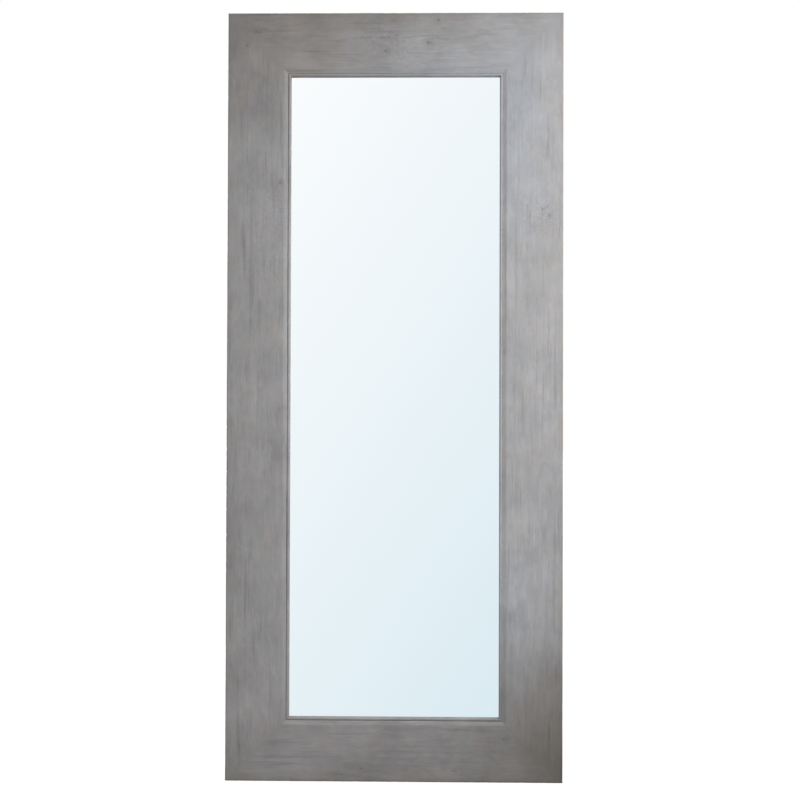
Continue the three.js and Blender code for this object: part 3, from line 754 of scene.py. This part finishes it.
def relief_tree():
    """Wire-brushed timber: soft fibres sunk between hard ones, the slow waves of hand planing,
    knots that stand proud in a dish, and chips in the outer arris."""
    shape = ShapeTree(
        "brushed timber",
        Brushed_Depth="Float",
        Plane_Waves="Float",
        Knot_Height="Float",
        Chip_Depth="Float",
    )
    nodes, given = shape.nodes, shape.given

    def attribute(name, kind="FLOAT"):
        return nodes.add("GeometryNodeInputNamedAttribute", {"Name": name}, data_type=kind).outputs[0]

    grain = attribute("grain", "FLOAT_VECTOR")
    streak = grain_by(nodes, grain, 7 * MM, 130 * MM, 3.0, 0.6, 0.4)
    rings = yearly_rings(nodes, grain, 9 * MM, 0.5)
    waves = nodes.noise(nodes.vector("MULTIPLY", grain, (14, 14, 5)), 1.0)
    nicks = grain_by(nodes, grain, 6 * MM, 9 * MM, 2.0, 0.6)

    soft = nodes.math("ADD", nodes.remap(streak, 0.4, 0.7), nodes.remap(rings, 0.4, 0.7))
    rise = nodes.math("MULTIPLY", soft, nodes.math("MULTIPLY", given["Brushed Depth"], -0.5))
    planed = nodes.math("SUBTRACT", waves, 0.5)
    rise = nodes.math("MULTIPLY_ADD", planed, given["Plane Waves"], rise)
    knot = attribute("knot")
    proud = nodes.math("SUBTRACT", nodes.remap(knot, 1.0, 0.6), nodes.remap(knot, 2.4, 1.0, 0.0, 0.7))
    rise = nodes.math("MULTIPLY_ADD", proud, given["Knot Height"], rise)
    chips = nodes.math("MULTIPLY", nodes.remap(nicks, 0.48, 0.68), attribute("chipped"))
    chips = nodes.math("MULTIPLY", chips, given["Chip Depth"])
    rise = nodes.math("SUBTRACT", rise, chips)
    rise = nodes.math("MULTIPLY", nodes.math("MULTIPLY", rise, attribute("washed")), attribute("free"))
    offset = nodes.scale(nodes.add("GeometryNodeInputNormal").outputs[0], rise)
    moved = nodes.add("GeometryNodeSetPosition", {"Geometry": given["Geometry"], "Offset": offset})
    return shape.end(moved.outputs[0])


def driven_screws_tree():
    """A screw on every point of the piece, along the point's axis, each turned by chance."""
    shape = ShapeTree("driven screws", Screw="Object", Seed="Int")
    nodes, given = shape.nodes, shape.given
    axis = nodes.add("GeometryNodeInputNamedAttribute", {"Name": "axis"}, data_type="FLOAT_VECTOR")
    aimed = nodes.add("FunctionNodeAlignRotationToVector", {"Vector": axis.outputs[0]}, axis="Z")
    chance = nodes.add(
        "FunctionNodeRandomValue", {2: 0.0, 3: 2 * math.pi, "Seed": given["Seed"]}, data_type="FLOAT"
    )
    spin = nodes.add("FunctionNodeAxisAngleToRotation", {"Axis": (0, 0, 1), "Angle": chance.outputs[1]})
    turned = nodes.add(
        "FunctionNodeRotateRotation", {0: aimed.outputs[0], 1: spin.outputs[0]}, rotation_space="LOCAL"
    )
    screw = nodes.add("GeometryNodeObjectInfo", {"Object": given["Screw"]}).outputs["Geometry"]
    placed = nodes.add(
        "GeometryNodeInstanceOnPoints",
        {"Points": given["Geometry"], "Instance": screw, "Rotation": turned.outputs[0]},
    )
    return shape.end(placed.outputs[0])


# ---- piece helpers


def new_piece(name, mesh):
    mesh.name = name
    piece = bpy.data.objects.new(name, mesh)
    bpy.context.scene.collection.objects.link(piece)
    return piece


def hand_over(piece, body, finish_slot, *replaced):
    """The piece rides on its body and stands for its CAD nodes. finish_slot is not used."""
    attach(piece, body)
    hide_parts(*replaced)


def smooth(piece, degrees=35):
    piece.data.shade_smooth()
    piece.data.set_sharp_from_angle(angle=math.radians(degrees))


def paint(piece, material):
    piece.data.materials.clear()
    piece.data.materials.append(material)


def turned_mesh(name, outline, sides, radius_at=None):
    """A solid turned round +Z from (radius, height) points that start and end on the axis.
    radius_at may change the radius by height and angle."""
    rings = outline[1:-1]
    angles = np.linspace(0, 2 * math.pi, sides, endpoint=False)
    points = [(0, 0, outline[0][1])]
    for radius, height in rings:
        radii = radius_at(radius, height, angles) if radius_at else np.full(sides, radius)
        points += [(r * math.cos(a), r * math.sin(a), height) for r, a in zip(radii, angles)]
    points.append((0, 0, outline[-1][1]))
    last = len(points) - 1
    quads = (np.array(grid_faces(len(rings) - 1, sides)) + 1).tolist()
    ends = [(0, 1 + (i + 1) % sides, 1 + i) for i in range(sides)]
    ends += [(last, last - sides + i, last - sides + (i + 1) % sides) for i in range(sides)]
    mesh = bpy.data.meshes.new(name)
    mesh.from_pydata(points, [], quads + ends)
    face_outwards(mesh)
    return mesh


# ---- timber pieces


def timber_frame():
    relief = relief_tree()
    washed_board = washed_timber("washed_board")
    washed_slip = washed_timber("washed_slip")
    for side in SIDES:
        board = new_piece(f"timber_{side.board}", swept_side(side, board_outline()))
        relief.apply(
            board,
            Brushed_Depth=0.25 * MM,
            Plane_Waves=0.6 * MM,
            Knot_Height=0.5 * MM,
            Chip_Depth=1.4 * MM,
            Finish=washed_board,
        )
        smooth(board)
        hand_over(board, "frame", "frame_wood", side.board)

        slip = new_piece(f"timber_slip_{side.name}", swept_side(side, slip_outline()))
        relief.apply(slip, Brushed_Depth=0.1 * MM, Plane_Waves=0.15 * MM, Finish=washed_slip)
        smooth(slip)
        hand_over(slip, "frame", "slip_wood", f"sight_slip_{side.name}")


# ---- screws


def threaded(depth, tip, thread_end):
    """A radius that follows a thread, cut into the shank from the tip up to thread_end."""

    def radius_at(radius, height, angles):
        if not tip * 0.3 < height < thread_end:
            return np.full(len(angles), radius)
        phase = (height / THREAD_PITCH - angles / (2 * math.pi)) % 1.0
        crest = np.clip(1 - np.abs(phase - 0.5) * 3.2, 0, 1)
        fade = min(1.0, (thread_end - height) / THREAD_PITCH)
        return radius - depth * fade * (1 - crest) * min(1.0, height / tip)

    return radius_at


def cross_recess(top):
    """The cutter of a cross recess in a head whose top is at the given height."""
    reach, half = RECESS_REACH, RECESS_WIDTH / 2
    corner = [(reach, -half), (reach, half), (half, half)]
    cross = []
    for quarter in range(4):
        turn = Matrix.Rotation(quarter * math.pi / 2, 2)
        cross += [tuple(turn @ Vector(point)) for point in corner]
    levels = [(1.0, top + 1 * MM), (1.0, top), (0.55, top - RECESS_DEPTH)]
    points = [(x * share, y * share, height) for share, height in levels for x, y in cross]
    count = len(cross)
    mesh = bpy.data.meshes.new("cross_recess")
    mesh.from_pydata(
        points, [], grid_faces(2, count) + [list(range(count)), list(range(2 * count, 3 * count))]
    )
    face_outwards(mesh)
    return mesh


def cross_head_screw(name, length, shank, head):
    """A threaded screw standing on its tip, with a cross cut in its head. head lists the
    (radius, height) points from the shank to the axis on top."""
    heights = np.arange(0.4 * MM, length * SHANK_SHARE, THREAD_PITCH / ROWS_PER_TURN)
    body = [(shank * min(1.0, h / SCREW_TIP), h) for h in heights]
    thread = threaded(THREAD_DEPTH, SCREW_TIP, length * THREADED_SHARE)
    mesh = turned_mesh(name, [(0, 0)] + body + head, SCREW_SIDES, thread)
    screw = new_piece(name, mesh)
    cutter = new_piece("recess_cutter", cross_recess(head[-1][1]))
    hollow = screw.modifiers.new("cross", "BOOLEAN")
    hollow.object = cutter
    hollow.operation = "DIFFERENCE"
    hollow.solver = "EXACT"
    keep_result(screw)
    bpy.data.objects.remove(cutter)
    smooth(screw, 40)
    return screw


def screws_at(name, screw, tips, ways, finish, seed):
    """One piece with a copy of the screw at every tip, its head the given way from the tip."""
    mesh = bpy.data.meshes.new(name)
    mesh.from_pydata([tuple(tip) for tip in tips], [], [])
    give(mesh, "axis", np.array([tuple(way) for way in ways]))
    piece = new_piece(name, mesh)
    driven_screws_tree().apply(piece, Screw=screw, Seed=seed, Finish=finish)
    bpy.data.objects.remove(screw)
    return piece


def bead_screws(finish):
    """Countersunk screws, driven outwards through the back beads: one per CAD node."""
    head = [
        (BEAD_SCREW_SHANK, BEAD_SCREW_LENGTH - BEAD_SCREW_RIM - BEAD_SCREW_HEAD + BEAD_SCREW_SHANK),
        (BEAD_SCREW_HEAD, BEAD_SCREW_LENGTH - BEAD_SCREW_RIM),
        (BEAD_SCREW_HEAD, BEAD_SCREW_LENGTH - BEAD_SCREW_CHAMFER),
        (BEAD_SCREW_HEAD - BEAD_SCREW_CHAMFER, BEAD_SCREW_LENGTH),
        (0, BEAD_SCREW_LENGTH),
    ]
    screw = cross_head_screw("bead_screw", BEAD_SCREW_LENGTH, BEAD_SCREW_SHANK, head)
    tips, ways, nodes = [], [], []
    for side in SIDES:
        way = (side.to_frame.to_3x3() @ Vector((1, 0, 0))).normalized()
        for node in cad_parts:
            if node.startswith(f"bead_screw_{side.name}_"):
                low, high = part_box(node)
                tips.append((low + high) / 2 - way * BEAD_SCREW_LENGTH / 2)
                ways.append(way)
                nodes.append(node)
    piece = screws_at("bead_screws", screw, tips, ways, finish, 4)
    hand_over(piece, "frame", "zinc_steel", *nodes)


def hanger_screws(finish):
    """Pan-head screws through the straps: one per CAD node."""
    top = HANGER_SCREW_LENGTH + PAN_HEAD_HEIGHT
    flat = PAN_HEAD_RADIUS - PAN_HEAD_SHOULDER
    head = (
        [(HANGER_SCREW_SHANK, HANGER_SCREW_LENGTH), (PAN_HEAD_RADIUS, HANGER_SCREW_LENGTH)]
        + arc((flat, top - PAN_HEAD_SHOULDER), PAN_HEAD_SHOULDER, 0, 90, 6)
        + [(flat, top), (0, top)]
    )
    screw = cross_head_screw("hanger_screw", HANGER_SCREW_LENGTH, HANGER_SCREW_SHANK, head)
    nodes = [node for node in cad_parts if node.startswith("hanger_screw")]
    tips = []
    for node in nodes:
        low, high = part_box(node)
        tips.append(((low[0] + high[0]) / 2, low[1], (low[2] + high[2]) / 2))
    piece = screws_at("hanger_screws", screw, tips, [(0, 1, 0)] * len(tips), finish, 9)
    hand_over(piece, "frame", "zinc_steel", *nodes)


# ---- hangers and buffers


def merged_copy(node, name):
    """A copy of a CAD node with its loose triangles joined and its flat faces made whole."""
    shell = bmesh.new()
    shell.from_mesh(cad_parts[node].data)
    bmesh.ops.remove_doubles(shell, verts=shell.verts, dist=0.002 * MM)
    bmesh.ops.dissolve_limit(
        shell, angle_limit=math.radians(1), verts=shell.verts, edges=shell.edges
    )
    mesh = bpy.data.meshes.new(name)
    shell.to_mesh(mesh)
    shell.free()
    return new_piece(name, mesh)


def strap(side, finish):
    """The folded strap with its edges broken by the press."""
    piece = merged_copy(f"hanger_strap_{side}", f"strap_{side}")
    broken = piece.modifiers.new("broken edges", "BEVEL")
    broken.width = BROKEN_EDGE
    broken.segments = 2
    broken.limit_method = "ANGLE"
    broken.angle_limit = math.radians(40)
    keep_result(piece)
    paint(piece, finish)
    smooth(piece, 20)  # less than the turn at a broken edge, so the flats stay evenly shaded
    hand_over(piece, "frame", "zinc_steel", f"hanger_strap_{side}")


def ring_line():
    """The middle of the ring's wire, seen from behind the frame, with 0 at the hinge axis."""
    bar_end = RING_HALF_WIDTH - RING_CORNER
    bow_top = RING_HALF_WIDTH - RING_HEIGHT
    half = line((RING_BUTT_GAP / 2, 0), (bar_end, 0), 1 * MM)
    half += arc((bar_end, -RING_CORNER), RING_CORNER, 90, 0, 10)
    half += line((RING_HALF_WIDTH, -RING_CORNER), (RING_HALF_WIDTH, bow_top), 1 * MM)
    half += arc((0, bow_top), RING_HALF_WIDTH, 0, -90, 30)
    lowest = (0, bow_top - RING_HALF_WIDTH)
    return half + [lowest] + [(-x, z) for x, z in reversed(half)]


def ring(side, finish):
    """D-shaped ring of round wire, swinging in the strap's loop."""
    low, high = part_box(f"hanger_ring_{side}")
    axis = Vector(((low[0] + high[0]) / 2, (low[1] + high[1]) / 2, high[2] - RING_WIRE_RADIUS))
    middle = np.array(ring_line())
    way = np.gradient(middle, axis=0)
    way /= np.linalg.norm(way, axis=1)[:, None]
    points = []
    for (x, z), (dx, dz) in zip(middle, way):
        for i in range(WIRE_SIDES):
            turn = 2 * math.pi * i / WIRE_SIDES
            off, out = RING_WIRE_RADIUS * math.cos(turn), RING_WIRE_RADIUS * math.sin(turn)
            points.append((axis.x + x + dz * off, axis.y + out, axis.z + z - dx * off))
    rows = len(middle) - 1
    ends = [list(range(WIRE_SIDES)), [rows * WIRE_SIDES + i for i in reversed(range(WIRE_SIDES))]]
    mesh = bpy.data.meshes.new("ring")
    mesh.from_pydata(points, [], grid_faces(rows, WIRE_SIDES) + ends)
    face_outwards(mesh)
    piece = new_piece(f"ring_{side}_wire", mesh)
    paint(piece, finish)
    smooth(piece)
    hand_over(piece, f"ring_{side}", "ring_steel", f"hanger_ring_{side}")


def buffer(node, finish):
    """Moulded rubber buffer with a rounded shoulder and a shallow dimple in its face."""
    low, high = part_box(node)
    radius, height = (high[0] - low[0]) / 2, high[1] - low[1]
    face = radius - BUFFER_SHOULDER
    rounded = arc((face, height - BUFFER_SHOULDER), BUFFER_SHOULDER, 0, 90, 10)
    outline = [(0, 0), (radius - BUFFER_FOOT, 0), (radius, BUFFER_FOOT)] + rounded
    outline += [(face, height)] + [(out, height - depth) for out, depth in BUFFER_DIMPLE]
    mesh = turned_mesh(node, outline, BUFFER_SIDES)
    foot = Vector(((low[0] + high[0]) / 2, low[1], (low[2] + high[2]) / 2))
    mesh.transform(Matrix.Translation(foot) @ Matrix.Rotation(-math.pi / 2, 4, "X"))
    piece = new_piece(f"rubber_{node}", mesh)
    paint(piece, finish)
    smooth(piece)
    hand_over(piece, "frame", "rubber", node)


# ---- CAD nodes that stay


def paint_nodes_that_stay(rubber):
    glass = silvered_glass()
    board = pressed_hardboard()
    beech = plain_timber("pressed_beech", "Z", srgb(206, 176, 136), srgb(184, 148, 108))
    upright = plain_timber("planed_pine_upright", "Z")
    level = plain_timber("planed_pine_level", "X")
    for name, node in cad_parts.items():
        if name == "mirror_glass":
            paint(node, glass)
        elif name == "backing_panel":
            paint(node, board)
        elif name.startswith("setting_block"):
            paint(node, rubber)
        elif name.startswith("mitre_tenon"):
            paint(node, beech)
        elif name.startswith("back_bead"):
            paint(node, upright if name.endswith(("left", "right")) else level)


# ---- studio

PHOTO_WIDTH = 800  # pixels
FOCAL_LENGTH = 1600  # pixels
SENSOR = 36.0  # mm

CAMERA_PLACE = Vector((0.1037, FRONT - 4.157, 0.9238))
CAMERA_PITCH, CAMERA_ROLL, CAMERA_YAW = (math.radians(a) for a in (0.908, -0.155, 1.229))

STUDIO_WHITE = (0.995, 0.998, 1.0, 1)
STUDIO_BLUE = (0.725, 0.845, 0.895, 1)
BLUE_TOWARDS = (2.53, 0.0, -1.69)  # the white turns pale blue to the right and downwards
BLUE_FROM, BLUE_TO = -0.6, 0.42  # how far that way the blue begins and is full
AMBIENT_LEVEL = (0.66, 0.652, 0.642, 1)
AMBIENT_ABOVE = (1.10, 1.087, 1.07, 1)

FLOOR_GREY = (0.34, 0.34, 0.34, 1)
FLOOR_GLOW = 0.74  # what the camera sees besides, so that the floor is white
FLOOR_REACH = 40.0
FLOOR_DROP = 0.5 * MM


def camera():
    data = bpy.data.cameras.new("camera")
    data.sensor_width = SENSOR
    data.lens = SENSOR * FOCAL_LENGTH / PHOTO_WIDTH
    turn = (
        Matrix.Rotation(CAMERA_ROLL, 4, "Y")
        @ Matrix.Rotation(CAMERA_PITCH, 4, "X")
        @ Matrix.Rotation(CAMERA_YAW, 4, "Z")
        @ Matrix.Rotation(math.pi / 2, 4, "X")
    )
    seen_from = bpy.data.objects.new("camera", data)
    seen_from.matrix_world = Matrix.Translation(CAMERA_PLACE) @ turn
    bpy.context.scene.collection.objects.link(seen_from)
    bpy.context.scene.camera = seen_from


def surroundings():
    """A white studio, brightest overhead. A sharp reflection sees its white turn pale blue to
    the lower right."""
    world = bpy.data.worlds.new("studio")
    world.use_nodes = True
    bpy.context.scene.world = world
    world.node_tree.nodes.clear()
    nodes = Nodes(world.node_tree)
    path = nodes.add("ShaderNodeLightPath").outputs
    way = nodes.add("ShaderNodeTexCoord").outputs["Generated"]
    turned = nodes.vector("DOT_PRODUCT", way, BLUE_TOWARDS)
    share = nodes.add("ShaderNodeMapRange", {0: turned, 1: BLUE_FROM, 2: BLUE_TO}).outputs[0]
    reflected = nodes.blend(share, STUDIO_WHITE, STUDIO_BLUE)
    shown = nodes.blend(path["Is Camera Ray"], reflected, (1, 1, 1, 1))
    backdrop = nodes.add("ShaderNodeBackground", {"Color": shown, "Strength": 1.0}).outputs[0]
    height = nodes.add("ShaderNodeSeparateXYZ", {0: way}).outputs[2]
    soft = nodes.blend(nodes.math("MAXIMUM", height, 0.0), AMBIENT_LEVEL, AMBIENT_ABOVE)
    ambient = nodes.add("ShaderNodeBackground", {"Color": soft, "Strength": 1.0}).outputs[0]
    seen = nodes.math("MAXIMUM", path["Is Camera Ray"], path["Is Singular Ray"])
    mix = nodes.add("ShaderNodeMixShader", {0: seen, 1: ambient, 2: backdrop}).outputs[0]
    nodes.add("ShaderNodeOutputWorld", {"Surface": mix})


def pale_floor():
    """White floor that keeps the mirror's shadow. Sharp reflections pass through it, so the
    glass shows the studio and no horizon."""
    material = bpy.data.materials.new("pale_floor")
    material.use_nodes = True
    material.node_tree.nodes.clear()
    nodes = Nodes(material.node_tree)
    path = nodes.add("ShaderNodeLightPath").outputs
    lit = nodes.add("ShaderNodeBsdfDiffuse", {"Color": FLOOR_GREY}).outputs[0]
    glow = nodes.add("ShaderNodeEmission", {"Color": (1, 1, 1, 1)})
    nodes.feed(glow.inputs["Strength"], nodes.math("MULTIPLY", path["Is Camera Ray"], FLOOR_GLOW))
    surface = nodes.add("ShaderNodeAddShader", {0: lit, 1: glow.outputs[0]}).outputs[0]
    clear = nodes.add("ShaderNodeBsdfTransparent").outputs[0]
    mix = nodes.add("ShaderNodeMixShader", {0: path["Is Singular Ray"], 1: surface, 2: clear})
    nodes.add("ShaderNodeOutputMaterial", {"Surface": mix.outputs[0]})
    mesh = bpy.data.meshes.new("floor")
    corners = [(FLOOR_REACH * x, FLOOR_REACH * y, 0) for x, y in ((-1, -1), (1, -1), (1, 1), (-1, 1))]
    mesh.from_pydata(corners, [], [(0, 1, 2, 3)])
    mesh.materials.append(material)
    floor = bpy.data.objects.new("floor", mesh)
    floor.location.z = -FLOOR_DROP
    bpy.context.scene.collection.objects.link(floor)


def soft_box(name, place, aim, size, power, colour):
    data = bpy.data.lights.new(name, "AREA")
    data.shape = "RECTANGLE"
    data.size, data.size_y = size
    data.energy = power
    data.color = colour
    lamp = bpy.data.objects.new(name, data)
    away = Vector(place) - Vector(aim)
    lamp.matrix_world = Matrix.Translation(place) @ away.to_track_quat("Z", "Y").to_matrix().to_4x4()
    lamp.visible_camera = False
    bpy.context.scene.collection.objects.link(lamp)


def studio():
    camera()
    surroundings()
    pale_floor()
    soft_box(
        "key", (1.0, -1.03, 1.5), aim=(0, 0, 1.2), size=(0.7, 0.9), power=20, colour=(0.93, 0.965, 1.0)
    )
    soft_box("back_fill", (-1.3, 2.4, 2.0), aim=(0, 0, 1.1), size=(1.2, 1.2), power=30, colour=(1, 1, 1))
    bpy.context.scene.view_settings.view_transform = "Standard"


# ---- making


def fittings(rubber):
    zinc = plated_steel("zinc_plate", srgb(206, 209, 213), srgb(196, 190, 174), 0.34)
    nickel = plated_steel("ring_plate", srgb(212, 213, 214), srgb(188, 187, 184), 0.22)
    bead_screws(zinc)
    hanger_screws(zinc)
    for side in ("left", "right"):
        strap(side, zinc)
        ring(side, nickel)
    for node in [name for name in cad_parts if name.startswith("wall_buffer")]:
        buffer(node, rubber)


studio()
timber_frame()
rubber = black_rubber()
fittings(rubber)
paint_nodes_that_stay(rubber)
